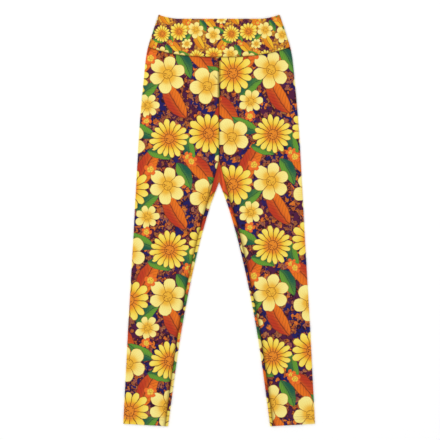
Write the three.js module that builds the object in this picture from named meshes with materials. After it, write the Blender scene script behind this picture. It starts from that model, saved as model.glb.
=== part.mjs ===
// High-waisted, full-length leggings, laid flat with the front up.
// A maker cuts five pieces: two leg panels, each one piece that wraps its whole leg, so that there
// is no side seam; a front and a back waistband, both of doubled cloth; and a diamond gusset.
// The hem is each panel's own end turned up inside, so the wall is thicker there.
// Seams: centre front, centre back, the waist, the waistband's two sides, the gusset's edges, and
// the two inside legs, which lie a little way over on the front.
// Millimetres. +X is the wearer's left, +Y runs up to the waist and +Z is the garment's front.
// The underside lies flat on z = 0. "down" is the distance below the waistband's side tips.
import * as THREE from 'three';

// Cloth
const CLOTH = 1.0;            // wall of the single cloth
const BAND_CLOTH = 1.8;       // wall of the doubled waistband
const HEM_CLOTH = 1.6;        // wall of the turned-up hem
const HEM_DEPTH = 24;
const HEM_STEP = 3;           // the wall grows to the hem's thickness over this height
const LAYER_GAP = 0.9;        // air between front and back where they lie closest
const FOLD_RADIUS = 1.6;      // middle of the wall, at the soft fold along each edge of a leg
const BAND_FOLD_RADIUS = 1.8;
const SEAM_GAP = 0.3;         // between neighbouring pieces
const WAIST_GAP = 0.45;       // a little more at the waist, where the seam slants
const EDGE_SOFTNESS = 20;     // how far in from a fold the two layers have settled together
const SEAM_GROOVE = 0.6;      // how deep the cloth rolls in at a seam
const SEAM_GROOVE_WIDTH = 1.6;

// Levels, as distances down
const LENGTH = 970;           // the hem at the inside leg
const TOP_DIP = 9.7;          // the waistband's top edge at the centre
const WAIST_SEAM_SIDE = 76;
const WAIST_SEAM_CENTRE = 100;
const YOKE = 230;             // below this the cross rows are straight
const CROTCH = 343;           // the centre seams meet the gusset
const FORK = 394;             // the two legs part
const GUSSET_BACK = 412;      // the gusset's edge reaches the inner fold from behind
const GUSSET_WRAP = 418;      // the same edge has come round the fold to the front
const GUSSET_TIP = 430;       // the same edge meets the inside leg seam
const INSEAM_START = 446;     // the inside leg seam follows the inner fold from here
const INSEAM_SETTLED = 590;   // and keeps its distance to it from here
const HEM_ZONE = 900;         // below this the cross rows turn to follow the hem
const HEM_RISE = 6;           // the hem is this much higher at the side fold

// Shapes of the waistband's edges. The top edge is flat in the middle and rises to the side tips
// from TOP_RISE, a share of the way to the side fold.
const TOP_RISE = 0.66;
const TOP_POWER = 1.6;
const WAIST_SEAM_POWER = 2.5;

// How far the inside leg seam lies over on the front, from the inner fold
const INSEAM_INSET = 9;       // at INSEAM_START
const INSEAM_INSET_LOW = 7;   // from INSEAM_SETTLED on

// The flat outline: from the centre to the side fold, and to the leg's inner fold
const LEVELS = [
  { down: 0, side: 142.8, inner: 0 },
  { down: 40, side: 156.3, inner: 0 },
  { down: WAIST_SEAM_SIDE, side: 167.5, inner: 0 },
  { down: 106, side: 173.1, inner: 0 },
  { down: 153, side: 177.7, inner: 0 },
  { down: 219, side: 184.0, inner: 0 },
  { down: 295, side: 189.5, inner: 0 },
  { down: FORK, side: 195.1, inner: 0 },
  { down: INSEAM_START, side: 198.1, inner: 19.4 },
  { down: 521, side: 201.9, inner: 41.4 },
  { down: 597, side: 206.4, inner: 60.0 },
  { down: 673, side: 210.7, inner: 75.8 },
  { down: 748, side: 215.1, inner: 89.4 },
  { down: 824, side: 218.8, inner: 100.9 },
  { down: 899, side: 222.8, inner: 111.1 },
  { down: LENGTH, side: 226.3, inner: 120.3 },
];

// Soft ridges of the front layer, and below 0 the two pulled-in lines beside the front seam.
// A turn of 0 runs down the garment; turn is in degrees.
const CREASES = [
  { x: -7, down: 148, length: 11, width: 2.6, turn: -32, height: -0.5 },
  { x: 8, down: 149, length: 9, width: 2.6, turn: 34, height: -0.5 },
  { x: -52, down: 372, length: 44, width: 11, turn: 58, height: 0.8 },
  { x: 66, down: 388, length: 52, width: 13, turn: -64, height: 0.7 },
  { x: -112, down: 296, length: 60, width: 18, turn: 76, height: 0.6 },
  { x: 104, down: 247, length: 48, width: 16, turn: -70, height: 0.5 },
  { x: -130, down: 655, length: 36, width: 12, turn: -82, height: 0.7 },
  { x: 146, down: 622, length: 40, width: 14, turn: 78, height: 0.8 },
  { x: -160, down: 842, length: 26, width: 10, turn: -80, height: 0.6 },
  { x: 162, down: 868, length: 28, width: 11, turn: 84, height: 0.6 },
];

const { lerp, clamp, degToRad } = THREE.MathUtils;
const ease = (t) => t * t * (3 - 2 * t);
const range = (count) => Array.from({ length: count }, (_, k) => k);
const steps = (count, from = 0, to = 1) => range(count + 1).map((k) => lerp(from, to, k / count));
const place = (x, down, z) => new THREE.Vector3(x, LENGTH / 2 - down, z);

// A smooth curve through one column of LEVELS, with each row's slope taken from its neighbours.
function level(column, down) {
  const last = LEVELS.length - 1;
  let row = 0;
  while (row < last - 1 && LEVELS[row + 1].down < down) row += 1;
  const [a, b] = [LEVELS[row], LEVELS[row + 1]];
  const slope = (k) => {
    const [before, after] = [LEVELS[Math.max(k - 1, 0)], LEVELS[Math.min(k + 1, last)]];
    return (after[column] - before[column]) / (after.down - before.down);
  };
  const span = b.down - a.down;
  const t = clamp((down - a.down) / span, 0, 1);
  return a[column] * (1 + 2 * t) * (1 - t) ** 2 + slope(row) * span * t * (1 - t) ** 2
    + b[column] * (3 - 2 * t) * t ** 2 - slope(row + 1) * span * (1 - t) * t ** 2;
}

const sideAt = (down) => level('side', down);

// The legs part at a sharp point, so the inner fold leaves it in a straight line.
function innerAt(down) {
  if (down <= FORK) return 0;
  if (down >= INSEAM_START) return level('inner', down);
  return level('inner', INSEAM_START) * (down - FORK) / (INSEAM_START - FORK);
}

function inseamAt(down) {
  if (down <= CROTCH) return 0;
  if (down < INSEAM_START) {
    const start = innerAt(INSEAM_START) + INSEAM_INSET;
    return start * (down - CROTCH) / (INSEAM_START - CROTCH);
  }
  const t = clamp((down - INSEAM_START) / (INSEAM_SETTLED - INSEAM_START), 0, 1);
  return innerAt(down) + lerp(INSEAM_INSET, INSEAM_INSET_LOW, ease(t));
}

function topEdge(share) {
  const t = clamp((Math.abs(share) - TOP_RISE) / (1 - TOP_RISE), 0, 1);
  return TOP_DIP * (1 - t ** TOP_POWER);
}

const waistSeam = (share) => (
  lerp(WAIST_SEAM_CENTRE, WAIST_SEAM_SIDE, Math.abs(share) ** WAIST_SEAM_POWER));

// 1 at an edge, falling to 0 where the layers have settled.
const nearness = (distance) => 1 - ease(clamp(distance / EDGE_SOFTNESS, 0, 1));
const anyOf = (shares) => 1 - shares.reduce((rest, share) => rest * (1 - share), 1);

function creaseAt(x, down) {
  return CREASES.reduce((sum, crease) => {
    const turn = degToRad(crease.turn);
    const [dx, dd] = [x - crease.x, down - crease.down];
    const along = (dd * Math.cos(turn) - dx * Math.sin(turn)) / crease.length;
    const across = (dx * Math.cos(turn) + dd * Math.sin(turn)) / crease.width;
    return sum + crease.height * Math.exp(-(along ** 2) - across ** 2);
  }, 0);
}

// Height of the middle of the front layer of the legs and gusset; x is signed.
function frontHeight(x, down) {
  const foldWidth = FOLD_RADIUS + CLOTH / 2;
  const away = Math.abs(x);
  const toFork = down < FORK ? Math.hypot(away, FORK - down) : away - innerAt(down);
  const side = nearness(sideAt(down) - away - foldWidth);
  const fork = nearness(toFork - foldWidth);
  const waist = nearness(down - waistSeam(away / sideAt(down)));
  const hem = nearness(LENGTH - HEM_DEPTH - down);
  const spread = 2 * FOLD_RADIUS - CLOTH - LAYER_GAP;
  const toSeam = (away - inseamAt(down)) / SEAM_GROOVE_WIDTH;
  const groove = SEAM_GROOVE * Math.exp(-(toSeam ** 2));
  const crease = creaseAt(x, down) * (1 - side) * (1 - fork);
  return 1.5 * CLOTH + LAYER_GAP + spread * anyOf([side, fork, waist, hem]) + crease - groove;
}

// A closed sheet of cloth. Each point of rows is { p, n, out, into }: a place on the middle of the
// wall, the direction out of the garment, and how far the wall reaches out and in from there.
function clothSolid(rows, flipped = false) {
  const [count, across] = [rows.length, rows[0].length];
  const positions = [];
  for (const reach of [(q) => q.out, (q) => -q.into]) {
    for (const q of rows.flat()) {
      positions.push(...q.p.clone().addScaledVector(q.n, reach(q)));
    }
  }
  const at = (i, j) => i * across + j;
  const inside = count * across;
  const index = [];
  const face = (a, b, c) => index.push(...(flipped ? [a, c, b] : [a, b, c]));
  for (let i = 0; i < count - 1; i += 1) {
    for (let j = 0; j < across - 1; j += 1) {
      const [a, b, c, d] = [at(i, j), at(i + 1, j), at(i + 1, j + 1), at(i, j + 1)];
      face(a, b, c);
      face(a, c, d);
      face(inside + a, inside + c, inside + b);
      face(inside + a, inside + d, inside + c);
    }
  }
  const rim = [
    ...range(count - 1).map((i) => at(i, 0)),
    ...range(across - 1).map((j) => at(count - 1, j)),
    ...range(count - 1).map((i) => at(count - 1 - i, across - 1)),
    ...range(across - 1).map((j) => at(0, across - 1 - j)),
  ];
  rim.forEach((a, k) => {
    const b = rim[(k + 1) % rim.length];
    face(b, a, inside + a);
    face(b, inside + a, inside + b);
  });
  const geometry = new THREE.BufferGeometry();
  geometry.setAttribute('position', new THREE.Float32BufferAttribute(positions, 3));
  geometry.setIndex(index);
  return geometry;
}

// Leg panel. Each row walks along the cloth from the front seam, out over the front, round the
// side fold, back underneath and, on the leg itself, round the inner fold to the inside leg seam.
const EDGE_OFFSETS = [0, 2, 5, 10];          // first points of a row, from the front seam
const FRONT_SHARES = [0.22, 0.42, 0.6, 0.76, 0.88];
const SETTLE = 9;                            // last front point before the side fold
const UNDER_SHARES = [0.07, 0.18, 0.31, 0.46, 0.64, 0.82];
const ARC_STEPS = 5;
const TAIL_STEP = 1.6;                       // spacing of the last points, fine enough for a fold
const TAIL_STEPS = 8;

// The panel's rows: shares of the way from the waist seam to YOKE, then levels, then shares of the
// way from HEM_ZONE to the hem's edge. They are closest at the creases, the gusset and the hem.
const YOKE_ROWS = [0, 0.08, 0.2, 0.3, 0.38, 0.46, 0.7];
const UPPER_ROWS = [YOKE, 262, 296, 325, CROTCH, 360, 378, FORK, 404];
const WRAP_STEPS = 4;
const LOWER_ROWS = [424, GUSSET_TIP, INSEAM_START, 480, 521, 565, 610, 655, 700, 748, 800, 850];
const HEM_ROWS = [0, 0.3, 0.62, 0.68, 1];

// Where a row's far edge lies: x of the bottom of the inner fold, or of the back seam where there
// is no inner fold, and how far past it the cloth goes on, round the fold and over the front.
function farEdge(down) {
  const foldWidth = FOLD_RADIUS + CLOTH / 2;
  const halfTurn = Math.PI * FOLD_RADIUS;
  const bend = innerAt(down) + foldWidth;
  if (down <= CROTCH) return { bend: SEAM_GAP / 2, past: 0 };
  if (down <= GUSSET_BACK) {
    const t = (down - CROTCH) / (GUSSET_BACK - CROTCH);
    return { bend: lerp(SEAM_GAP / 2, innerAt(GUSSET_BACK) + foldWidth, t), past: 0 };
  }
  if (down <= GUSSET_WRAP) {
    return { bend, past: halfTurn * (down - GUSSET_BACK) / (GUSSET_WRAP - GUSSET_BACK) };
  }
  const wrap = innerAt(GUSSET_WRAP) + foldWidth;
  const t = clamp((down - GUSSET_WRAP) / (GUSSET_TIP - GUSSET_WRAP), 0, 1);
  const edge = lerp(wrap, inseamAt(down) - SEAM_GAP / 2, t);
  return { bend, past: halfTurn + edge - bend };
}

function legRow(rowDown, downAt, sign) {
  const foldWidth = FOLD_RADIUS + CLOTH / 2;
  const inner = innerAt(rowDown);
  const hem = 1 - clamp((LENGTH - HEM_DEPTH - rowDown) / HEM_STEP, 0, 1);
  const into = lerp(CLOTH / 2, HEM_CLOTH - CLOTH / 2, hem);
  const spot = (share) => {
    const down = downAt(share);
    return { x: lerp(inner, sideAt(down), share), down };
  };
  const point = (x, down, z, nx, nz) => (
    { p: place(sign * x, down, z), n: new THREE.Vector3(sign * nx, 0, nz), out: CLOTH / 2, into });
  const front = (share) => {
    const { x, down } = spot(share);
    return point(x, down, frontHeight(sign * x, down), 0, 1);
  };
  const width = sideAt(downAt(1)) - inner;
  const seamShare = (inseamAt(rowDown) + SEAM_GAP / 2 - inner) / width;
  const sideShare = 1 - foldWidth / width;
  const lastOffset = EDGE_OFFSETS.at(-1) / width;
  const settled = sideShare - SETTLE / width;
  const row = [
    ...EDGE_OFFSETS.map((offset) => front(seamShare + offset / width)),
    ...FRONT_SHARES.map((t) => front(lerp(seamShare + lastOffset, settled, t))),
    front(settled),
  ];
  const edge = spot(1);
  for (const turn of steps(ARC_STEPS, Math.PI / 2, -Math.PI / 2)) {
    const x = edge.x - foldWidth + FOLD_RADIUS * Math.cos(turn);
    const z = CLOTH / 2 + FOLD_RADIUS * (1 + Math.sin(turn));
    row.push(point(x, edge.down, z, Math.cos(turn), Math.sin(turn)));
  }
  const { bend, past } = farEdge(rowDown);
  const tail = (along) => {
    const turn = along / FOLD_RADIUS - Math.PI / 2;
    const down = (x) => downAt((x - inner) / width);
    if (along <= 0) {
      const under = spot((bend - along - inner) / width);
      return point(under.x, under.down, CLOTH / 2, 0, -1);
    }
    if (turn < Math.PI / 2) {
      const x = bend - FOLD_RADIUS * Math.cos(turn);
      const z = CLOTH / 2 + FOLD_RADIUS * (1 + Math.sin(turn));
      return point(x, down(x), z, -Math.cos(turn), Math.sin(turn));
    }
    const x = bend + along - Math.PI * FOLD_RADIUS;
    return point(x, down(x), frontHeight(sign * x, down(x)), 0, 1);
  };
  const underside = bend - (edge.x - foldWidth);
  const tailStart = past - TAIL_STEP * TAIL_STEPS;
  for (const t of UNDER_SHARES) row.push(tail(lerp(underside, tailStart, t)));
  for (const along of steps(TAIL_STEPS, tailStart, past)) row.push(tail(along));
  return row;
}

function legPanel(sign) {
  const straight = (down) => [down, () => down];
  const yoke = (t) => [
    lerp(WAIST_SEAM_CENTRE, YOKE, t),
    (share) => lerp(waistSeam(share) + WAIST_GAP / 2, YOKE, t),
  ];
  const hem = (t) => [
    lerp(HEM_ZONE, LENGTH, t),
    (share) => lerp(HEM_ZONE, LENGTH - HEM_RISE * share, t),
  ];
  const rows = [
    ...YOKE_ROWS.map(yoke),
    ...UPPER_ROWS.map(straight),
    ...steps(WRAP_STEPS, GUSSET_BACK, GUSSET_WRAP).map(straight),
    ...LOWER_ROWS.map(straight),
    ...HEM_ROWS.map(hem),
  ];
  return clothSolid(rows.map(([down, downAt]) => legRow(down, downAt, sign)), sign < 0);
}

// Gusset. Each row runs from the front seam down to the fork, round the fold, and back underneath
// to the centre back; "share" runs from -1 at one leg's tip to 1 at the other's.
const GUSSET_EASE = 0.9;      // along the seams, which leaves SEAM_GAP square to them
const GUSSET_START = 1.2;     // the two points at the centre seams are cut back by this
const GUSSET_BACK_END = 1.6;
const GUSSET_STEPS = 12;      // rows from tip to tip
const GUSSET_LEAN = 0.6;      // share by which the fold has turned to face sideways
const GUSSET_FRONT_SHARES = [0, 0.15, 0.35, 0.6, 0.8];
const GUSSET_UNDER_SHARES = [0.3, 0.65, 1];

function gussetRow(share) {
  const foldWidth = FOLD_RADIUS + CLOTH / 2;
  const [s, sign] = [Math.abs(share), Math.sign(share) || 1];
  const point = (x, down, z, n) => (
    { p: place(sign * x, down, z), n, out: CLOTH / 2, into: CLOTH / 2 });
  // Into the garment from the fold: straight up at the fork, sideways where a leg takes over.
  const lean = ease(clamp(s / GUSSET_LEAN, 0, 1)) * Math.PI / 2;
  const [inX, inDown] = [Math.sin(lean), -Math.cos(lean)];
  const fold = (turn) => {
    const wrapped = lerp(GUSSET_BACK, GUSSET_WRAP, turn / Math.PI + 0.5) - GUSSET_EASE;
    const down = lerp(FORK, wrapped, s);
    const inset = foldWidth - FOLD_RADIUS * Math.cos(turn);
    return { x: innerAt(down) + inX * inset, down: down + inDown * inset };
  };
  const tip = GUSSET_TIP - GUSSET_EASE;
  const start = {
    x: s * (inseamAt(tip) - SEAM_GAP / 2),
    down: lerp(CROTCH + GUSSET_START, tip, s),
  };
  const end = {
    x: s * (innerAt(GUSSET_BACK) + foldWidth - 2 * SEAM_GAP),
    down: lerp(CROTCH + GUSSET_START, GUSSET_BACK - GUSSET_BACK_END, s),
  };
  const run = (from, to, t) => [lerp(from.x, to.x, t), lerp(from.down, to.down, t)];
  const row = [];
  for (const t of GUSSET_FRONT_SHARES) {
    const [x, down] = run(start, fold(Math.PI / 2), t);
    row.push(point(x, down, frontHeight(sign * x, down), new THREE.Vector3(0, 0, 1)));
  }
  for (const turn of steps(ARC_STEPS, Math.PI / 2, -Math.PI / 2)) {
    const { x, down } = fold(turn);
    const out = Math.cos(turn);
    const n = new THREE.Vector3(-sign * inX * out, inDown * out, Math.sin(turn));
    row.push(point(x, down, CLOTH / 2 + FOLD_RADIUS * (1 + Math.sin(turn)), n));
  }
  for (const t of GUSSET_UNDER_SHARES) {
    const [x, down] = run(fold(-Math.PI / 2), end, t);
    row.push(point(x, down, CLOTH / 2, new THREE.Vector3(0, 0, -1)));
  }
  return row;
}

// Waistband halves. Each row goes from one side seam, at mid height in the fold, over the front
// or under the back to the other side seam.
const BAND_ROWS = [0, 0.1, 0.3, 0.6, 0.85, 1];
const BAND_SHARES = [0.05, 0.11, 0.19, 0.29, 0.39, 0.5, 0.61, 0.71, 0.81, 0.89, 0.95];
const BAND_ARC_STEPS = 3;     // in the quarter turn at each end

function bandHeight(x, down) {
  const share = x / sideAt(down);
  const edges = [
    nearness(sideAt(down) - Math.abs(x) - BAND_FOLD_RADIUS - BAND_CLOTH / 2),
    nearness(down - topEdge(share)),
    nearness(waistSeam(share) - down),
  ];
  const spread = 2 * BAND_FOLD_RADIUS - BAND_CLOTH - LAYER_GAP;
  return 1.5 * BAND_CLOTH + LAYER_GAP + spread * anyOf(edges);
}

function bandRow(t, isFront) {
  const face = isFront ? 1 : -1;
  const radius = BAND_FOLD_RADIUS - SEAM_GAP / 2;
  const foldWidth = BAND_FOLD_RADIUS + BAND_CLOTH / 2;
  const middle = BAND_CLOTH / 2 + BAND_FOLD_RADIUS + face * SEAM_GAP / 2;
  const downAt = (share) => lerp(topEdge(share), waistSeam(share) - WAIST_GAP / 2, t);
  const point = (x, down, z, nx, nz) => (
    { p: place(x, down, z), n: new THREE.Vector3(nx, 0, nz), out: BAND_CLOTH / 2,
      into: BAND_CLOTH / 2 });
  const quarter = (sign) => steps(BAND_ARC_STEPS, 0, Math.PI / 2).map((turn) => {
    const x = sideAt(downAt(1)) - foldWidth + radius * Math.cos(turn);
    const z = middle + face * radius * Math.sin(turn);
    return point(sign * x, downAt(1), z, sign * Math.cos(turn), face * Math.sin(turn));
  });
  const reach = 1 - foldWidth / sideAt(downAt(1));
  const flat = BAND_SHARES.map((s) => {
    const share = lerp(-reach, reach, s);
    const down = downAt(share);
    const x = share * sideAt(down);
    return point(x, down, isFront ? bandHeight(x, down) : BAND_CLOTH / 2, 0, face);
  });
  return [...quarter(-1), ...flat, ...quarter(1).reverse()];
}

const cloth = (color) => (
  new THREE.MeshStandardMaterial({ color, roughness: 0.7, metalness: 0 }));
const legCloth = cloth(0xc98a2c);
const bandCloth = cloth(0xe3a326);
const gussetCloth = cloth(0xcf4a26);

const leggings = new THREE.Group();
function add(name, geometry, material) {
  const mesh = new THREE.Mesh(geometry, material);
  mesh.name = name;
  leggings.add(mesh);
}

add('left_leg_panel', legPanel(1), legCloth);
add('right_leg_panel', legPanel(-1), legCloth);
add('gusset', clothSolid(steps(GUSSET_STEPS, -1, 1).map(gussetRow), true), gussetCloth);
add('front_waistband', clothSolid(BAND_ROWS.map((t) => bandRow(t, true))), bandCloth);
add('back_waistband', clothSolid(BAND_ROWS.map((t) => bandRow(t, false)), true), bandCloth);

export default leggings;
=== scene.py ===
"""High-waisted leggings of printed stretch knit, laid flat on a pale table with the front up.

Lengths are millimetres, as on the cutter's pattern, and MM turns them into Blender's metres.
+X is the wearer's left, +Y runs up to the waist, +Z is the garment's front and z = 0 its underside.
"down" is the distance below the waistband's side tips.
"""

import bpy
import numpy as np
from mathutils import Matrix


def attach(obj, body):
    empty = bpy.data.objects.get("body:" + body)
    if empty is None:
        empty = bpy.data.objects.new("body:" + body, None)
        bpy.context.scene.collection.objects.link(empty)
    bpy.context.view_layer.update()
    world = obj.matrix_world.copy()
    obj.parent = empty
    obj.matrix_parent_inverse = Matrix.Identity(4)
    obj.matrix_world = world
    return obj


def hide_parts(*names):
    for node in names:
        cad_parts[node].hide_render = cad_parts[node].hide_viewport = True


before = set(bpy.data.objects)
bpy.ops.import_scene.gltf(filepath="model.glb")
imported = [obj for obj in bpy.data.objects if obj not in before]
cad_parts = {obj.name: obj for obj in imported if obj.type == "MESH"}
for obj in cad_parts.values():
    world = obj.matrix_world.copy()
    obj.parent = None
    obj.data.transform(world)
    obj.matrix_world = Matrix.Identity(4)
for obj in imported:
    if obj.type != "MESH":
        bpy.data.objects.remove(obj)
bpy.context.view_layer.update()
MM = 0.001

# The picture
# A packshot from straight above: the camera stands so high that a square of 1038 mm fills the
# picture. Two wide soft lights and an even pale surround leave hardly any shade, as shown.
PICTURE_WIDTH = 1038.4
PICTURE_CENTRE = (2.1, 1.2)
LENS = 85.0
SENSOR = 36.0
TABLE_SIZE = 9000.0
TABLE_DROP = 0.15             # keeps the table's face just clear of the cloth's underside
TABLE_WHITE = 0.96
SURROUND_STRENGTH = 0.78

camera = bpy.data.objects.new("camera", bpy.data.cameras.new("camera"))
camera.data.lens = LENS
camera.data.sensor_width = SENSOR
camera_height = PICTURE_WIDTH * LENS / SENSOR
camera.location = (PICTURE_CENTRE[0] * MM, PICTURE_CENTRE[1] * MM, camera_height * MM)
bpy.context.scene.collection.objects.link(camera)
bpy.context.scene.camera = camera
bpy.context.scene.view_settings.view_transform = "Standard"

world = bpy.data.worlds.new("pale_surround")
bpy.context.scene.world = world
world.use_nodes = True
surround = world.node_tree.nodes["Background"]
surround.inputs["Color"].default_value = (1, 1, 1, 1)
surround.inputs["Strength"].default_value = SURROUND_STRENGTH


def soft_light(name, place, size, power):
    """A square light of that size in mm at place, turned to face the middle of the leggings."""
    light = bpy.data.objects.new(name, bpy.data.lights.new(name, "AREA"))
    light.data.size = size * MM
    light.data.energy = power
    light.location = [value * MM for value in place]
    light.rotation_euler = light.location.to_track_quat("Z", "Y").to_euler()
    bpy.context.scene.collection.objects.link(light)


soft_light("key_light", (-1100, 900, 1900), 1300, 15.0)
soft_light("fill_light", (1400, -500, 2200), 1800, 7.0)

table_mesh = bpy.data.meshes.new("table")
half = TABLE_SIZE / 2 * MM
corners = [(-half, -half), (half, -half), (half, half), (-half, half)]
table_mesh.from_pydata([(x, y, -TABLE_DROP * MM) for x, y in corners], [], [(0, 1, 2, 3)])
table = bpy.data.objects.new("table", table_mesh)
bpy.context.scene.collection.objects.link(table)
table_finish = bpy.data.materials.new("table_finish")
table_finish.use_nodes = True
table_shader = table_finish.node_tree.nodes["Principled BSDF"]
table_shader.inputs["Base Color"].default_value = (TABLE_WHITE, TABLE_WHITE, TABLE_WHITE, 1)
table_shader.inputs["Roughness"].default_value = 0.9
table_shader.inputs["Emission Color"].default_value = (1, 1, 1, 1)
table_shader.inputs["Emission Strength"].default_value = 0.05
table_mesh.materials.append(table_finish)


# The printed cloth
# Polyester and elastane knit, printed all over before it is cut. The print is a half-drop repeat
# of garden flowers: golden blooms, cream blossoms and small red flowers among green leaves and
# broad flame-coloured ones, on a ground of aubergine and navy with rust-coloured flecks.
REPEAT_WIDTH = 186.0
REPEAT_HEIGHT = 262.0
GOLD = {"Tip": (0.94, 0.77, 0.13), "Middle": (0.92, 0.60, 0.03), "Root": (0.80, 0.25, 0.02)}
CREAM = {"Tip": (0.95, 0.83, 0.28), "Middle": (0.94, 0.75, 0.19), "Root": (0.86, 0.46, 0.04)}
SCARLET = {"Tip": (0.86, 0.16, 0.02), "Middle": (0.80, 0.07, 0.02), "Root": (0.92, 0.60, 0.06)}
GREEN = {"Light": (0.13, 0.33, 0.03), "Deep": (0.008, 0.10, 0.06)}
FLAME = {"Light": (0.80, 0.17, 0.012), "Deep": (0.50, 0.040, 0.014)}
HONEY = {"Light": (0.93, 0.55, 0.03), "Deep": (0.80, 0.24, 0.01)}
UMBER = (0.14, 0.025, 0.01)
BROWN = (0.30, 0.10, 0.01)
BOTTLE_GREEN = (0.0, 0.05, 0.03)
INK = (0.010, 0.002, 0.008)
AUBERGINE = (0.075, 0.010, 0.048)
NAVY = (0.007, 0.010, 0.110)
RUST = [(0.22, 0.030, 0.03), (0.66, 0.12, 0.02), (0.27, 0.055, 0.065), (0.40, 0.060, 0.015)]


class Value:
    """A number, vector or colour in a node tree, so that a pattern is written as a formula.
    The signs + - * / ** and abs() each add the Math node of that name."""

    def __init__(self, tree, socket):
        self.tree = tree
        self.socket = socket

    def math(self, operation, *others):
        """The result of a Math node on this value and the others."""
        return self.node("ShaderNodeMath", operation, self, *others)

    def node(self, kind, operation, *values):
        """The result of a node of that kind and operation on the values."""
        node = self.tree.nodes.new(kind)
        node.operation = operation
        for socket, value in zip(node.inputs, values):
            feed(self.tree, socket, value)
        return Value(self.tree, node.outputs[0])

    def __add__(self, other):
        return self.math("ADD", other)

    def __sub__(self, other):
        return self.math("SUBTRACT", other)

    def __rsub__(self, other):
        return self.node("ShaderNodeMath", "SUBTRACT", other, self)

    def __mul__(self, other):
        return self.math("MULTIPLY", other)

    def __truediv__(self, other):
        return self.math("DIVIDE", other)

    def __pow__(self, other):
        return self.math("POWER", other)

    def __abs__(self):
        return self.math("ABSOLUTE")

    __radd__ = __add__
    __rmul__ = __mul__

    def rounded(self):
        """The nearest whole number."""
        return self.math("ROUND")

    def ramp(self, low, high):
        """0 below low, 1 above high and a soft step between them; low may be the larger."""
        node = self.tree.nodes.new("ShaderNodeMapRange")
        node.interpolation_type = "SMOOTHSTEP"
        feed(self.tree, node.inputs["Value"], self)
        for name, value in (("From Min", low), ("From Max", high)):
            feed(self.tree, node.inputs[name], value)
        return Value(self.tree, node.outputs["Result"])

    def parts(self):
        """The x, y and z of a vector, or the red, green and blue of a colour."""
        node = self.tree.nodes.new("ShaderNodeSeparateXYZ")
        feed(self.tree, node.inputs[0], self)
        return [Value(self.tree, output) for output in node.outputs]


def feed(tree, socket, value):
    """Sets an input to a number, vector or colour, or links a Value to it."""
    if isinstance(value, Value):
        tree.links.new(value.socket, socket)
    elif socket.type == "RGBA":
        socket.default_value = (*value, 1)
    else:
        socket.default_value = value


def vector(tree, x, y):
    """The vector (x, y, 0)."""
    node = tree.nodes.new("ShaderNodeCombineXYZ")
    feed(tree, node.inputs["X"], x)
    feed(tree, node.inputs["Y"], y)
    return Value(tree, node.outputs[0])


def blend(tree, share, under, over, kind="MIX"):
    """The colour under, with over laid on it by share."""
    node = tree.nodes.new("ShaderNodeMix")
    node.data_type = "RGBA"
    node.blend_type = kind
    colours = [socket for socket in node.inputs if socket.type == "RGBA"]
    feed(tree, node.inputs["Factor"], share)
    feed(tree, colours[0], under)
    feed(tree, colours[1], over)
    return Value(tree, next(socket for socket in node.outputs if socket.type == "RGBA"))


def noise(tree, place, size, detail=2.0):
    """Soft noise from 0 to 1 with lumps of that size in mm."""
    node = tree.nodes.new("ShaderNodeTexNoise")
    node.inputs["Scale"].default_value = 1 / size
    node.inputs["Detail"].default_value = detail
    feed(tree, node.inputs["Vector"], place)
    return Value(tree, node.outputs[0])


def cells(tree, place, size):
    """Voronoi cells of that size in mm: the distance from a cell's point, and its random colour."""
    node = tree.nodes.new("ShaderNodeTexVoronoi")
    node.inputs["Scale"].default_value = 1 / size
    feed(tree, node.inputs["Vector"], place)
    return Value(tree, node.outputs["Distance"]), Value(tree, node.outputs["Color"])


KINDS = {"V": "NodeSocketVector", "C": "NodeSocketColor", "F": "NodeSocketFloat"}


def new_group(name, inputs, outputs):
    """An empty group with named sockets, each given as "V name", "C name" or "F name".
    Gives its tree, its inputs by name, and a function that sets an output."""
    tree = bpy.data.node_groups.new(name, "ShaderNodeTree")
    for side, titles in (("INPUT", inputs), ("OUTPUT", outputs)):
        for title in titles:
            tree.interface.new_socket(title[2:], in_out=side, socket_type=KINDS[title[0]])
    source = tree.nodes.new("NodeGroupInput")
    sink = tree.nodes.new("NodeGroupOutput")
    values = {title[2:]: Value(tree, source.outputs[title[2:]]) for title in inputs}
    return tree, values, lambda title, value: feed(tree, sink.inputs[title], value)


def use(tree, group, values):
    """Places a group in a tree with these inputs, and gives its outputs by name."""
    node = tree.nodes.new("ShaderNodeGroup")
    node.node_tree = group
    for title, value in values.items():
        feed(tree, node.inputs[title], value)
    return {socket.name: Value(tree, socket) for socket in node.outputs}


def motif_place():
    """Where a point lies in the nearest copy of a motif, in motif radii.
    Each column of the half-drop repeat is set down by half the repeat's height."""
    inputs = ["V Place", "V Centre", "F Turn", "F Size"]
    tree, given, put = new_group("motif_place", inputs, ["V Local"])
    x, y, _ = given["Place"].node(
        "ShaderNodeVectorMath", "SUBTRACT", given["Place"], given["Centre"]).parts()
    column = (x / REPEAT_WIDTH).rounded()
    x = x - column * REPEAT_WIDTH
    y = y - column * (REPEAT_HEIGHT / 2)
    y = y - (y / REPEAT_HEIGHT).rounded() * REPEAT_HEIGHT
    cosine, sine = given["Turn"].math("COSINE"), given["Turn"].math("SINE")
    put("Local", vector(tree, (x * cosine + y * sine) / given["Size"],
                        (y * cosine - x * sine) / given["Size"]))
    return tree


MOTIF = ["C Under", "V Place", "V Centre", "F Turn", "F Size"]
motif_place_group = motif_place()


def local(tree, given):
    """The x and y of a point in its motif."""
    values = {name: given[name] for name in ("Place", "Centre", "Turn", "Size")}
    x, y, _ = use(tree, motif_place_group, values)["Local"].parts()
    return x, y


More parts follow.
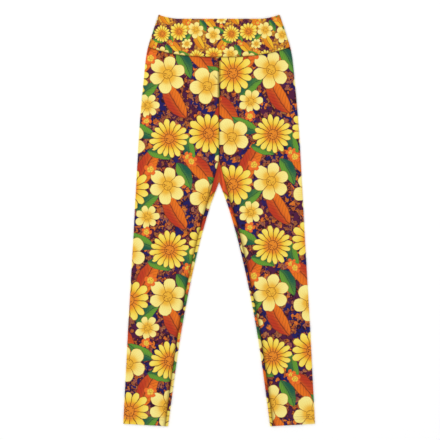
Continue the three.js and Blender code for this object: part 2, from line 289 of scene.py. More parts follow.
# Parts of a motif, in its radii. A pair is a soft step: none at the first, all at the second.
DRAWN_LINE = (0.045, 0.018)
MOTIF_EDGE = (0.0, 0.02)
HEART_RING = (0.25, 0.235)
HEART = (0.225, 0.21)
DOTTED = (0.2, 0.17)
DOT_SIZE = 0.085
PETAL_SWELL = 2.6             # a high power makes a petal's end blunt
PETAL_UNEVEN = 0.11           # how much shorter than the longest petal one may be
STREAKS = 44                  # radians of a sine across a petal, which make seven streaks


def bloom():
    """A flower seen from above. In polar places, a petal's edge is at
    Notch + (1 - Notch) (1 - |2 f|^PETAL_SWELL) of its length, where f runs from -1/2 to 1/2
    across it."""
    inputs = [*MOTIF, "F Petals", "F Notch", "C Tip", "C Middle", "C Root", "C Line"]
    tree, given, put = new_group("bloom", inputs, ["C Colour"])
    x, y = local(tree, given)
    radius = (x * x + y * y) ** 0.5
    around = y.math("ARCTAN2", x) * given["Petals"] / (2 * np.pi)
    petal = around.rounded()
    across = around - petal
    length = 1 - PETAL_UNEVEN * abs((petal * 2.3 + given["Turn"] * 5).math("SINE"))
    swell = 1 - (abs(across) * 2) ** PETAL_SWELL
    edge = (given["Notch"] + (1 - given["Notch"]) * swell) * length - radius
    gap = (0.5 - abs(across)) * radius * (2 * np.pi) / given["Petals"]
    line = edge.math("MINIMUM", gap * 1.6 / (radius + 0.35)).ramp(*DRAWN_LINE)
    body = blend(tree, (radius / length).ramp(0.34, 0.62), given["Root"], given["Middle"])
    body = blend(tree, (radius / length).ramp(0.42, 0.84), body, given["Tip"])
    lit = across.ramp(-0.05, 0.32) * radius.ramp(0.2, 0.5) * 0.42
    body = blend(tree, lit, body, given["Middle"])
    streak = (across * STREAKS).math("SINE").ramp(0.45, 1.0) * radius.ramp(0.9, 0.35) * 0.5
    body = blend(tree, streak, body, given["Root"])
    body = blend(tree, line * 0.92, body, given["Line"])
    body = blend(tree, radius.ramp(*HEART_RING), body, given["Line"])
    body = blend(tree, radius.ramp(*HEART), body, given["Root"])
    dots, _ = cells(tree, vector(tree, x, y), DOT_SIZE)
    body = blend(tree, dots.ramp(0.5, 0.3) * radius.ramp(*DOTTED), body, given["Line"])
    put("Colour", blend(tree, edge.ramp(*MOTIF_EDGE), given["Under"], body))
    return tree


LEAF_BOW = 0.13               # how far the midrib bows sideways
MIDRIB = (0.028, 0.014)
LEAF_RIM = (0.045, 0.02)
SIDE_VEINS = 5.5              # for each radius along the leaf
VEIN_SLANT = 1.1


def leaf():
    """A pointed leaf along x. Its half width is Slim (1 - x^2)^0.8 (1 - x / 4), round a midrib
    that bows sideways by LEAF_BOW (1 - x^2), with slanting side veins."""
    inputs = [*MOTIF, "F Slim", "C Light", "C Deep", "C Line"]
    tree, given, put = new_group("leaf", inputs, ["C Colour"])
    x, y = local(tree, given)
    bow = (1 - x * x).math("MAXIMUM", 0.0)
    y = y - bow * LEAF_BOW
    edge = given["Slim"] * bow ** 0.8 * (1 - x * 0.25) - abs(y)
    body = blend(tree, y.ramp(-0.22, 0.2), given["Light"], given["Deep"])
    body = blend(tree, x.ramp(-0.2, 1.0) * 0.55, body, given["Light"])
    vein = ((x - abs(y) * VEIN_SLANT) * SIDE_VEINS).math("FRACT") - 0.5
    body = blend(tree, abs(vein).ramp(0.1, 0.04) * 0.5, body, given["Line"])
    body = blend(tree, abs(y).ramp(*MIDRIB) * 0.8, body, given["Line"])
    body = blend(tree, edge.ramp(*LEAF_RIM) * 0.92, body, given["Line"])
    put("Colour", blend(tree, edge.ramp(*MOTIF_EDGE), given["Under"], body))
    return tree


GROUND_PATCH = 60             # size of the ground's patches of its two colours
FLECK_SIZE = 9.0
FLECK_CURL = 22               # how far the flecks are pulled out of shape
FLECK_SHARES = (0.38, 0.54, 0.78)   # of the flecks, where the next of the rust colours begins


def ground():
    """The dark cloth between the motifs: two colours in soft patches, with curled flecks. A
    fleck is a cell of a noise-bent grid, with a lit ring inside it and a dark rim round it."""
    inputs = ["V Place", "C First", "C Second", "F Flecks"]
    tree, given, put = new_group("ground", inputs, ["C Colour"])
    place = given["Place"]
    patch = noise(tree, place, GROUND_PATCH).ramp(0.48, 0.53)
    body = blend(tree, patch, given["First"], given["Second"])
    swirl = place.node("ShaderNodeVectorMath", "ADD", place, vector(
        tree, noise(tree, place, 10) * FLECK_CURL, noise(tree, place, 8) * FLECK_CURL))
    distance, hue = cells(tree, swirl, FLECK_SIZE)
    red, green, _ = hue.parts()
    fleck = RUST[0]
    for share, colour in zip(FLECK_SHARES, RUST[1:]):
        fleck = blend(tree, red.ramp(share, share + 0.02), fleck, colour)
    ring = distance.ramp(0.24, 0.32) * distance.ramp(0.46, 0.38)
    fleck = blend(tree, ring * 0.22, fleck, HONEY["Light"])
    present = green.ramp(0.1, 0.14) * given["Flecks"]
    rim = distance.ramp(0.72, 0.6) * present * 0.9
    body = blend(tree, rim, body, INK)
    put("Colour", blend(tree, distance.ramp(0.55, 0.49) * present, body, fleck))
    return tree


bloom_group, leaf_group, ground_group = bloom(), leaf(), ground()

# The motifs of one repeat, from the lowest layer to the top one: x, y, turn in degrees, radius
# and for a flower its number of petals. SLIM is a leaf's half width and NOTCH is how far out the
# notches between the petals reach, in radii.
BROAD_SLIM, GREEN_SLIM = 0.38, 0.44
CREAM_NOTCH, GOLD_NOTCH, SCARLET_NOTCH = 0.62, 0.72, 0.55
BROAD_LEAVES = [(92, 120, 62, 58), (20, 238, -48, 55), (150, 20, 118, 56)]
GREEN_LEAVES = [(86, 32, 40, 36), (170, 96, -62, 36), (70, 208, 150, 36), (0, 30, 100, 32),
                (112, 146, -20, 30)]
GOLD_BLOOMS = [(42, 66, 10, 52, 13), (136, 184, 31, 49, 16)]
CREAM_BLOSSOMS = [(132, 74, 20, 48, 6), (40, 178, 44, 47, 5), (84, 262, 5, 31, 7)]
SCARLET_FLOWERS = [(92, 112, 15, 17, 5), (180, 140, 50, 15, 6), (82, 226, 70, 14, 5),
                   (2, 262, 30, 16, 5)]


def print_design():
    """The whole print on the cut's own places in mm. Scale enlarges it, and Shift moves it."""
    inputs = ["V Place", "V Shift", "F Scale", "C First", "C Second", "F Flecks", "C Light",
              "C Deep"]
    tree, given, put = new_group("print_design", inputs, ["C Colour"])
    moved = given["Place"].node("ShaderNodeVectorMath", "ADD", given["Place"], given["Shift"])
    x, y, _ = moved.parts()
    place = vector(tree, x / given["Scale"], y / given["Scale"])
    wobble = vector(tree, noise(tree, place, 14) * 5, noise(tree, place, 12) * 5)
    place = place.node("ShaderNodeVectorMath", "ADD", place, wobble)
    body = use(tree, ground_group, {
        "Place": place, "First": given["First"], "Second": given["Second"],
        "Flecks": given["Flecks"]})["Colour"]

    def stamp(under, group, row, extra):
        """The colour under, with the motif of that row laid on it."""
        centre_x, centre_y, turn, size = row[:4]
        return use(tree, group, {
            "Under": under, "Place": place, "Centre": (centre_x, centre_y, 0),
            "Turn": float(np.radians(turn)), "Size": float(size), **extra})["Colour"]

    broad = {"Slim": BROAD_SLIM, "Light": given["Light"], "Deep": given["Deep"], "Line": UMBER}
    green = {"Slim": GREEN_SLIM, **GREEN, "Line": BOTTLE_GREEN}
    for rows, look in ((BROAD_LEAVES, broad), (GREEN_LEAVES, green)):
        for row in rows:
            body = stamp(body, leaf_group, row, look)
    cream = {"Notch": CREAM_NOTCH, **CREAM, "Line": BROWN}
    gold = {"Notch": GOLD_NOTCH, **GOLD, "Line": UMBER}
    scarlet = {"Notch": SCARLET_NOTCH, **SCARLET, "Line": UMBER}
    for rows, look in ((CREAM_BLOSSOMS, cream), (GOLD_BLOOMS, gold), (SCARLET_FLOWERS, scarlet)):
        for row in rows:
            body = stamp(body, bloom_group, row, {"Petals": float(row[4]), **look})
    put("Colour", body)
    return tree


WALE = 0.85                   # between columns of knit stitches
COURSE = 0.62                 # between rows of them
V_SLANT = 1.3                 # slope of a stitch's two arms, in courses for each wale
KNIT_DEPTH = 0.16
SEAM_SHADE_TINT = (0.30, 0.24, 0.13)   # what the deepest painted seam shade leaves of a colour


def knit():
    """Height of the knit's face: a sine along each column of V-shaped stitches, by 1 - 3 column^2,
    with some noise; painted shade between the stitches; and the uneven roughness."""
    outputs = ["F Height", "F Gaps", "F Roughness"]
    tree, given, put = new_group("knit", ["V Place"], outputs)
    x, y, _ = given["Place"].parts()
    column = (x / WALE).math("FRACT") - 0.5
    row = (y / COURSE + abs(column) * V_SLANT) * (2 * np.pi)
    loop = (row.math("SINE") * 0.5 + 0.5) * (1 - abs(column) ** 2 * 3)
    uneven = noise(tree, given["Place"], 22, 3.0)
    put("Height", loop * 0.7 + noise(tree, given["Place"], 1.1) * 0.3)
    put("Gaps", loop.ramp(0.45, 0.0) * 0.14)
    put("Roughness", 0.6 + uneven * 0.16)
    return tree


def painted_seam_shade():
    """Colour with painted shade beside a seam, where the cloth turns in: Shade is 0 on the open
    cloth.
    """
    tree, given, put = new_group("painted_seam_shade", ["C Colour", "F Shade"], ["C Colour"])
    dark = blend(tree, 1.0, given["Colour"], SEAM_SHADE_TINT, "MULTIPLY")
    put("Colour", blend(tree, given["Shade"], given["Colour"], dark))
    return tree


print_group, knit_group, painted_seam_shade_group = print_design(), knit(), painted_seam_shade()


def cloth_finish(name, shift, scale, first, second, flecks, broad):
    """The printed knit: print, knit grain and painted shade at the seams and between the stitches,
    on the "cut" UV map, in metres.
    """
    finish = bpy.data.materials.new(name)
    finish.use_nodes = True
    tree = finish.node_tree
    shader = tree.nodes["Principled BSDF"]
    uv = tree.nodes.new("ShaderNodeUVMap")
    uv.uv_map = "cut"
    size = tree.nodes.new("ShaderNodeMapping")
    size.vector_type = "POINT"
    size.inputs["Scale"].default_value = (1 / MM, 1 / MM, 1)
    tree.links.new(uv.outputs["UV"], size.inputs["Vector"])
    place = Value(tree, size.outputs["Vector"])
    shade = tree.nodes.new("ShaderNodeAttribute")
    shade.attribute_name = "shade"
    colour = use(tree, print_group, {
        "Place": place, "Shift": (*shift, 0), "Scale": scale,
        "First": first, "Second": second, "Flecks": flecks, **broad})["Colour"]
    # The print darkened by painted seam shade from the shade attribute
    seam_shaded = use(tree, painted_seam_shade_group, {
        "Colour": colour, "Shade": Value(tree, shade.outputs["Fac"])})["Colour"]
    grain = use(tree, knit_group, {"Place": place})
    # Painted shade between the knit's stitches darkens the colour towards umber
    gap_shaded = blend(tree, grain["Gaps"], seam_shaded, UMBER)
    bump = tree.nodes.new("ShaderNodeBump")
    bump.inputs["Strength"].default_value = 0.6
    bump.inputs["Distance"].default_value = KNIT_DEPTH * MM
    feed(tree, bump.inputs["Height"], grain["Height"])
    feed(tree, shader.inputs["Base Color"], gap_shaded)
    feed(tree, shader.inputs["Roughness"], grain["Roughness"])
    tree.links.new(bump.outputs["Normal"], shader.inputs["Normal"])
    shader.inputs["Specular IOR Level"].default_value = 0.1
    shader.inputs["Sheen Weight"].default_value = 0.03
    shader.inputs["Sheen Roughness"].default_value = 0.45
    return finish


# The leg panels
# Each leg is one piece of single cloth: from the front seam over the front, round the side fold,
# flat under the back, and round the inner fold to the inside leg seam, which lies a little over
# on the front. There is no side seam. The lower end is turned up inside, 24 mm deep, as the hem.
CLOTH = 1.0
HEM_CLOTH = 1.6
HEM_DEPTH = 24.0
HEM_STEP = 3.0
LAYER_GAP = 0.9
FOLD_RADIUS = 1.6
EDGE_SOFTNESS = 20.0
SEAM_GROOVE = 0.6
SEAM_GROOVE_WIDTH = 1.6
LENGTH = 970.0
WAIST_SEAM_SIDE = 76.0
WAIST_SEAM_CENTRE = 100.0
WAIST_SEAM_POWER = 2.5
YOKE = 230.0
CROTCH = 343.0
FORK = 394.0
GUSSET_BACK = 412.0
GUSSET_WRAP = 418.0
GUSSET_TIP = 430.0
INSEAM_START = 446.0
INSEAM_SETTLED = 590.0
INSEAM_INSET = 9.0
INSEAM_INSET_LOW = 7.0
HEM_ZONE = 900.0
HEM_RISE = 6.0
FOLD_WIDTH = FOLD_RADIUS + CLOTH / 2

# The flat outline, from the centre to the side fold and to the leg's inner fold
LEVELS = np.array([
    (0, 142.8, 0), (40, 156.3, 0), (76, 167.5, 0), (106, 173.1, 0), (153, 177.7, 0),
    (219, 184.0, 0), (295, 189.5, 0), (394, 195.1, 0), (446, 198.1, 19.4), (521, 201.9, 41.4),
    (597, 206.4, 60.0), (673, 210.7, 75.8), (748, 215.1, 89.4), (824, 218.8, 100.9),
    (899, 222.8, 111.1), (970, 226.3, 120.3),
], dtype=[("down", float), ("side", float), ("inner", float)])

# Soft ridges of the front, as the solid has them, with the pulled-in lines beside the front seam
CREASE = [("x", float), ("down", float), ("length", float), ("width", float), ("turn", float),
          ("height", float)]
FRONT_CREASES = np.array([
    (-7, 148, 11, 2.6, -32, -0.5), (8, 149, 9, 2.6, 34, -0.5),
    (-52, 372, 44, 11, 58, 0.8), (66, 388, 52, 13, -64, 0.7),
    (-112, 296, 60, 18, 76, 0.6), (104, 247, 48, 16, -70, 0.5),
    (-130, 655, 36, 12, -82, 0.7), (146, 622, 40, 14, 78, 0.8),
    (-160, 842, 26, 10, -80, 0.6), (162, 868, 28, 11, 84, 0.6),
], dtype=CREASE)
# On the back the cloth lifts a little off the table
BACK_CREASES = np.array([
    (-58, 402, 50, 9, 52, 0.5), (49, 396, 42, 8, -60, 0.45), (-84, 330, 62, 12, 68, 0.4),
    (96, 352, 54, 11, -72, 0.5), (-126, 668, 34, 8, -78, 0.45), (139, 640, 38, 9, 80, 0.5),
    (-158, 850, 24, 7, 82, 0.4), (166, 880, 26, 8, -84, 0.4),
], dtype=CREASE)


def ease(t):
    """A soft step from 0 to 1: 3 t^2 - 2 t^3."""
    return t * t * (3 - 2 * t)


def lerp(a, b, t):
    """The value a share t of the way from a to b."""
    return a + (b - a) * t


def share_of(value, start, end):
    """How far a value is on the way from start to end, held between 0 and 1."""
    return np.clip((value - start) / (end - start), 0, 1)


def level(column, down):
    """A cubic through one column of LEVELS: at each row its slope is its neighbours' difference
    over the distance between them."""
    at, values = LEVELS["down"], LEVELS[column]
    rows = np.arange(len(at))
    before, after = np.maximum(rows - 1, 0), np.minimum(rows + 1, len(at) - 1)
    slopes = (values[after] - values[before]) / (at[after] - at[before])
    k = np.clip(np.searchsorted(at, down) - 1, 0, len(at) - 2)
    span = at[k + 1] - at[k]
    t = np.clip((down - at[k]) / span, 0, 1)
    return (values[k] * (1 + 2 * t) * (1 - t) ** 2 + slopes[k] * span * t * (1 - t) ** 2
            + values[k + 1] * (3 - 2 * t) * t ** 2 - slopes[k + 1] * span * (1 - t) * t ** 2)


def side_at(down):
    """Distance from the centre to the side fold."""
    return level("side", down)


def inner_at(down):
    """The inner fold leaves the fork in a straight line down to INSEAM_START."""
    straight = level("inner", INSEAM_START) * (down - FORK) / (INSEAM_START - FORK)
    return np.where(down <= FORK, 0, np.where(down >= INSEAM_START, level("inner", down), straight))


def inseam_at(down):
    """The front seam: straight down the middle to the crotch, then beside the gusset, then
    over from the inner fold by INSEAM_INSET, which eases to INSEAM_INSET_LOW."""
    beside = (level("inner", INSEAM_START) + INSEAM_INSET) * share_of(down, CROTCH, INSEAM_START)
    settled = ease(share_of(down, INSEAM_START, INSEAM_SETTLED))
    inset = lerp(INSEAM_INSET, INSEAM_INSET_LOW, settled)
    return np.where(down >= INSEAM_START, inner_at(down) + inset, beside)


def waist_seam(share):
    """How far down the waist seam lies: its share of the way from the centre to the side fold,
    to the power WAIST_SEAM_POWER, takes it from the centre's depth to the side's."""
    return lerp(WAIST_SEAM_CENTRE, WAIST_SEAM_SIDE, np.abs(share) ** WAIST_SEAM_POWER)


def nearness(distance):
    """1 at an edge, falling to 0 where the two layers have settled together."""
    return 1 - ease(np.clip(distance / EDGE_SOFTNESS, 0, 1))


def creases(table, x, down):
    """The sum of soft ridges: height exp(-along^2 - across^2) in each ridge's own frame."""
    total = np.zeros(np.broadcast(x, down).shape)
    for row in table:
        turn = np.radians(row["turn"])
        dx, dd = x - row["x"], down - row["down"]
        along = (dd * np.cos(turn) - dx * np.sin(turn)) / row["length"]
        across = (dx * np.cos(turn) + dd * np.sin(turn)) / row["width"]
        total = total + row["height"] * np.exp(-along ** 2 - across ** 2)
    return total


def front_height(x, down):
    """Height of the middle of the front layer: lowest where the layers have settled, higher at
    each edge and fold, with the creases added and the seam's groove taken away."""
    away = np.abs(x)
    to_fork = np.where(down < FORK, np.hypot(away, FORK - down), away - inner_at(down))
    side = nearness(side_at(down) - away - FOLD_WIDTH)
    fork = nearness(to_fork - FOLD_WIDTH)
    waist = nearness(down - waist_seam(away / side_at(down)))
    hem = nearness(LENGTH - HEM_DEPTH - down)
    near = 1 - (1 - side) * (1 - fork) * (1 - waist) * (1 - hem)
    groove = SEAM_GROOVE * np.exp(-((away - inseam_at(down)) / SEAM_GROOVE_WIDTH) ** 2)
    crease = creases(FRONT_CREASES, x, down) * (1 - side) * (1 - fork)
    spread = 2 * FOLD_RADIUS - CLOTH - LAYER_GAP
    return 1.5 * CLOTH + LAYER_GAP + spread * near + crease - groove


def steps(count, start=0.0, end=1.0):
    """count equal steps from start to end, both included."""
    return np.linspace(start, end, count + 1)


EDGE_OFFSETS = np.array([
    0, 0.2, 0.45, 0.8, 1.2, 1.7, 2.3, 3, 3.8, 4.6, 5.5, 6.4, 7.4, 8.4, 9.5, 10.7, 12])
FRONT_STEPS = 38
SETTLE = 9.0                  # the stretch before the side fold, with steps of its own
SETTLE_STEPS = 4
ARC_STEPS = 14
UNDER_STEPS = 28
TAIL = 12.8                   # the last stretch of a row, fine enough for a fold
TAIL_STEPS = 26
HEM_STITCH_ROWS = (14.0, 20.0)   # above the hem's edge, at the inner fold
STITCH_PRESS = 0.3
STITCH_PRESS_WIDTH = 0.7


def far_edge(down):
    """Where a row's far edge lies: x of the bottom of the inner fold, or of the back seam where
    there is no inner fold, and how far past it the cloth goes on round the fold."""
    half_turn = np.pi * FOLD_RADIUS
    on_fold = inner_at(down) + FOLD_WIDTH
    to_fold = lerp(0, inner_at(np.array(GUSSET_BACK)) + FOLD_WIDTH,
                   share_of(down, CROTCH, GUSSET_BACK))
    bend = np.where(down <= GUSSET_BACK, to_fold, on_fold)
    wrap = inner_at(np.array(GUSSET_WRAP)) + FOLD_WIDTH
    edge = lerp(wrap, inseam_at(down), share_of(down, GUSSET_WRAP, GUSSET_TIP))
    past = np.where(down <= GUSSET_WRAP, half_turn * share_of(down, GUSSET_BACK, GUSSET_WRAP),
                    half_turn + edge - bend)
    return bend, past


def leg_down(row, share):
    """Rows follow the waist seam down to YOKE, then run straight across, then follow the hem."""
    yoke = lerp(waist_seam(share), YOKE, share_of(row, WAIST_SEAM_CENTRE, YOKE))
    hem = lerp(HEM_ZONE, LENGTH - HEM_RISE * share, share_of(row, HEM_ZONE, LENGTH))
    return np.where(row < YOKE, yoke, np.where(row > HEM_ZONE, hem, row))


def leg_surface(row, sign):
    """The middle of the wall over a grid: one row for each level in row, walked from the front
    seam over the front, round the side fold, under the back and round the inner fold.
    Gives the places, the directions out and the cloth's own (across, down) places."""
    row = row[:, None]
    inner = inner_at(row)
    width = side_at(leg_down(row, 1.0)) - inner
    side, side_down = inner + width, leg_down(row, 1.0)
    fold_x = side - FOLD_WIDTH
    seam = inseam_at(row)
    settled = fold_x - SETTLE

    def front(x):
        """The row's points on the front: each keeps its share of the way to the side fold."""
        share = (x - inner) / width
        down = leg_down(row, share)
        x = lerp(inner, side_at(down), share)
        return x, down, front_height(sign * x, down)

    near = seam + EDGE_OFFSETS[None, :]
    flat = lerp(near[:, -1:], settled, steps(FRONT_STEPS)[None, 1:])
    last = lerp(settled, fold_x, steps(SETTLE_STEPS)[None, 1:-1])
    x, down, z = front(np.hstack([near, flat, last]))
    pieces = [(x, down, z, 0 * x, 0 * x + 1, x)]

    turn = steps(ARC_STEPS, np.pi / 2, -np.pi / 2)[None, :] + 0 * row
    pieces.append((fold_x + FOLD_RADIUS * np.cos(turn), side_down + 0 * turn,
                   CLOTH / 2 + FOLD_RADIUS * (1 + np.sin(turn)), np.cos(turn), np.sin(turn),
                   fold_x + FOLD_RADIUS * (np.pi / 2 - turn)))

    bend, past = far_edge(row)
    start = past - TAIL
    under = lerp(bend - fold_x, start, steps(UNDER_STEPS)[None, 1:-1])
    along = np.hstack([under, start + TAIL * steps(TAIL_STEPS)[None, :]])
    turn = np.clip(along / FOLD_RADIUS, 0, np.pi) - np.pi / 2
    x = np.where(along <= 0, bend - along, np.where(
        turn < np.pi / 2, bend - FOLD_RADIUS * np.cos(turn), bend + along - np.pi * FOLD_RADIUS))
    share = (x - inner) / width
    down = leg_down(row, share)
    x = np.where(along <= 0, lerp(inner, side_at(down), share), x)
    lift = creases(BACK_CREASES, sign * x, down) * (1 - nearness(fold_x - x)) * (
        1 - nearness(x - bend))
    z = np.where(along <= 0, CLOTH / 2 + lift, np.where(
        turn < np.pi / 2, CLOTH / 2 + FOLD_RADIUS * (1 + np.sin(turn)),
        front_height(sign * x, down)))
    pieces.append((x, down, z, -np.cos(turn), np.sin(turn),
                   2 * fold_x + np.pi * FOLD_RADIUS - bend + along))

    x, down, z, out_x, out_z, across = (np.hstack(column) for column in zip(*pieces))
    place = np.stack([sign * x, LENGTH / 2 - down, z], axis=-1)
    out = np.stack([sign * out_x, 0 * out_x, out_z], axis=-1)
    return place, out, np.stack([sign * across, -down], axis=-1)


def along_rows(place):
    """Distance along each row from its first point."""
    hops = np.linalg.norm(np.diff(place, axis=1), axis=2)
    return np.hstack([np.zeros((len(place), 1)), np.cumsum(hops, axis=1)])


THINNEST = 0.25               # share of the wall left at the very edge
SEWN_ROLL = 0.8               # how far in from a sewn edge or the hem the wall is round


def rolled(distance, radius):
    """Share of the wall's thickness at a distance from its edge: a quarter circle from THINNEST
    at the edge to 1 at the radius."""
    t = np.clip(distance / radius, 0, 1)
    return THINNEST + (1 - THINNEST) * np.sqrt(1 - (1 - t) ** 2)


def grid_faces(rows, columns, first=0):
    """Quads of a grid of points, numbered row by row from first."""
    a = (np.arange(rows - 1)[:, None] * columns + np.arange(columns - 1)).ravel() + first
    return np.stack([a, a + columns, a + columns + 1, a + 1], axis=-1)


def cloth_mesh(name, place, out, cut, outer, inner, shade, finish, flipped):
    """A closed sheet: place + outer * out on its face, place - inner * out inside, and a rim.
    Where its rows and columns run the other way round, flipped turns the faces out."""
    rows, columns = place.shape[:2]
    count = rows * columns
    face = place + outer[..., None] * out
    back = place - inner[..., None] * out
    points = np.concatenate([face.reshape(-1, 3), back.reshape(-1, 3)]) * MM
    index = np.arange(count).reshape(rows, columns)
    rim = np.concatenate([index[:-1, 0], index[-1, :-1], index[:0:-1, -1], index[0, :0:-1]])
    following = np.roll(rim, -1)
    quads = np.concatenate([
        grid_faces(rows, columns), grid_faces(rows, columns, count)[:, ::-1],
        np.stack([following, rim, rim + count, following + count], axis=-1)])
    if flipped:
        quads = quads[:, ::-1]
    mesh = bpy.data.meshes.new(name)
    mesh.vertices.add(len(points))
    mesh.vertices.foreach_set("co", points.ravel())
    mesh.loops.add(quads.size)
    mesh.loops.foreach_set("vertex_index", quads.ravel())
    mesh.polygons.add(len(quads))
    mesh.polygons.foreach_set("loop_start", np.arange(0, quads.size, 4))
    mesh.polygons.foreach_set("loop_total", np.full(len(quads), 4))
    mesh.update(calc_edges=True)
    layer = mesh.uv_layers.new(name="cut")
    flat = np.concatenate([cut.reshape(-1, 2)] * 2) * MM
    layer.data.foreach_set("uv", flat[quads.ravel()].ravel())
    attribute = mesh.attributes.new("shade", "FLOAT", "POINT")
    attribute.data.foreach_set("value", np.concatenate([shade.ravel()] * 2).astype(np.float32))
    mesh.polygons.foreach_set("use_smooth", np.ones(len(quads), bool))
    mesh.materials.append(finish)
    piece = bpy.data.objects.new(name, mesh)
    bpy.context.scene.collection.objects.link(piece)
    return piece


GROOVE_SHADE = 0.62           # painted shade right in the groove of a seam
GROOVE_SHADE_WIDTH = 1.3
SLOPE_SHADE = 0.3             # painted shade on the slope down to it
SLOPE_SHADE_WIDTH = 3.6


def seam_shade(distance):
    """How much painted shade the cloth's colour takes at a distance from its sewn edge: the sum of
    two bell curves, each shade exp(-(distance / width)^2)."""
    return (GROOVE_SHADE * np.exp(-(distance / GROOVE_SHADE_WIDTH) ** 2)
            + SLOPE_SHADE * np.exp(-(distance / SLOPE_SHADE_WIDTH) ** 2))


ALLOWANCE_RIDGE = 0.3
ALLOWANCE_WIDTH = 4.5
ALLOWANCE_OVER = 7.5          # where the ridge has run out


def over_allowance(place, out, sewn):
    """The front lies ALLOWANCE_RIDGE higher beside a seam, over the allowance turned under it,
    and slopes down between ALLOWANCE_WIDTH and ALLOWANCE_OVER from the seam."""
    slope = 1 - ease(share_of(sewn, ALLOWANCE_WIDTH, ALLOWANCE_OVER))
    ridge = ALLOWANCE_RIDGE * slope * share_of(out[..., 2], 0, 1)
    return place + ridge[..., None] * np.array([0, 0, 1.0])


# Painted shade: a dark stretch at the top of the front seam, over the allowance under it
ALLOWANCE_END = 226.0
ALLOWANCE_FADE = 24.0
ALLOWANCE_REACH = 3.7
ALLOWANCE_BLUR = 1.3
ALLOWANCE_SHADE = 0.82
# Painted shade in thin dark lines of pulled cloth, which run down to the seam from both sides
PULLED_LINES = np.array([(-5.6, 150.4, 9.5, 1.5, -41, 1.0), (5.2, 150.0, 8.5, 1.5, 40, 1.0)],
                        dtype=CREASE)
PULLED_SHADE = 0.95

# Below the crotch the cloth rolls in to the seam, and painted shade darkens it there, more so on
# the panel's side
PANEL_SHADE = 0.78
PANEL_SHADE_WIDTH = 5.0
STRIP_SHADE = 0.55
STRIP_SHADE_WIDTH = 3.4

# Levels of the mesh's rows: close at the waist seam, the pulled lines, the gusset and the hem
LEG_ROWS = np.concatenate([
    WAIST_SEAM_CENTRE + np.array([0, 0.2, 0.5, 0.9, 1.4, 2, 2.8, 3.8, 5, 6.5, 8.2]),
    np.arange(110, 136, 2.8), np.arange(136, 164, 1.0), np.arange(164, FORK - 4, 3.0),
    np.arange(FORK - 4, INSEAM_START, 1.05), np.arange(INSEAM_START, LENGTH - 27, 3.3),
    np.arange(LENGTH - 26, LENGTH - 2, 1.0), LENGTH - np.array([1.6, 1.2, 0.8, 0.5, 0.25, 0.1, 0])])


def leg_panel(name, sign, finish):
    """The panel's shell: the surface of leg_surface with the wall's thickness on both sides."""
    place, out, cut = leg_surface(LEG_ROWS, sign)
    down = LENGTH / 2 - place[..., 1]
    from_seam = along_rows(place)
    to_far = from_seam[:, -1:] - from_seam
    x = np.abs(place[..., 0])
    inner = inner_at(LEG_ROWS)[:, None]
    share = np.clip((x - inner) / (side_at(down) - inner), 0, 1)
    from_waist = np.maximum(down - waist_seam(share), 0)
    to_hem = np.maximum(LENGTH - HEM_RISE * share - down, 0)
    sewn = np.minimum(np.minimum(from_seam, to_far), from_waist)
    level_up = LENGTH - LEG_ROWS[:, None]
    press = sum(np.exp(-((level_up - up) / STITCH_PRESS_WIDTH) ** 2) for up in HEM_STITCH_ROWS)
    place = over_allowance(place, out, sewn)
    thin = rolled(sewn, SEWN_ROLL) * rolled(to_hem, SEWN_ROLL)
    hem = 1 - share_of(to_hem, HEM_DEPTH, HEM_DEPTH + HEM_STEP)
    outer = CLOTH / 2 * thin - press * STITCH_PRESS
    into = lerp(CLOTH / 2, HEM_CLOTH - CLOTH / 2, hem) * thin
    front = out[..., 2] > 0.5
    # The shade attribute is painted shade: seam grooves, the rolled-in seam below the crotch, the
    # top of the front seam and the pulled lines
    beside = share_of(down, CROTCH, FORK) * np.maximum(
        PANEL_SHADE * np.exp(-(from_seam / PANEL_SHADE_WIDTH) ** 2),
        STRIP_SHADE * np.exp(-(to_far / STRIP_SHADE_WIDTH) ** 2))
    allowance = ALLOWANCE_SHADE * front * (
        1 - share_of(down, ALLOWANCE_END - ALLOWANCE_FADE, ALLOWANCE_END)) * (
        1 - share_of(x, ALLOWANCE_REACH - ALLOWANCE_BLUR, ALLOWANCE_REACH + ALLOWANCE_BLUR))
    pulled = PULLED_SHADE * front * np.minimum(creases(PULLED_LINES, place[..., 0], down), 1)
    shade = np.max([seam_shade(sewn), beside, allowance, pulled], axis=0)
    return cloth_mesh(name, place, out, cut, outer, into, shade, finish, sign < 0)


def sheet_facts(piece, node):
    """Attaches a laid piece of cloth to the root body and hides the part of that node."""
    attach(piece, "root")
    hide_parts(node)


# Each leg is cut from another place of the printed cloth
for side, sign, name, shift in (("left", 1, "leg_print", (7.0, 201.0)),
                                ("right", -1, "right_leg_print", (65.0, 81.0))):
    finish = cloth_finish(name, shift, 1.0, AUBERGINE, NAVY, 1.0, FLAME)
    leg = leg_panel(side + "_leg", sign, finish)
    sheet_facts(leg, side + "_leg_panel")


# The gusset
# A diamond of single cloth let in at the crotch: from the front seam down to the fork, round the
# fold and back underneath to the centre back, with a point towards each leg.
GUSSET_LEAN = 0.6
GUSSET_ROWS = 72
GUSSET_FRONT_STEPS = 26
GUSSET_UNDER_STEPS = 22
GUSSET_POINT = 40.0           # a round figure for the way to a point, for the roll there
GUSSET_RED = (0.80, 0.10, 0.02)
GUSSET_DEEP_RED = (0.62, 0.05, 0.02)


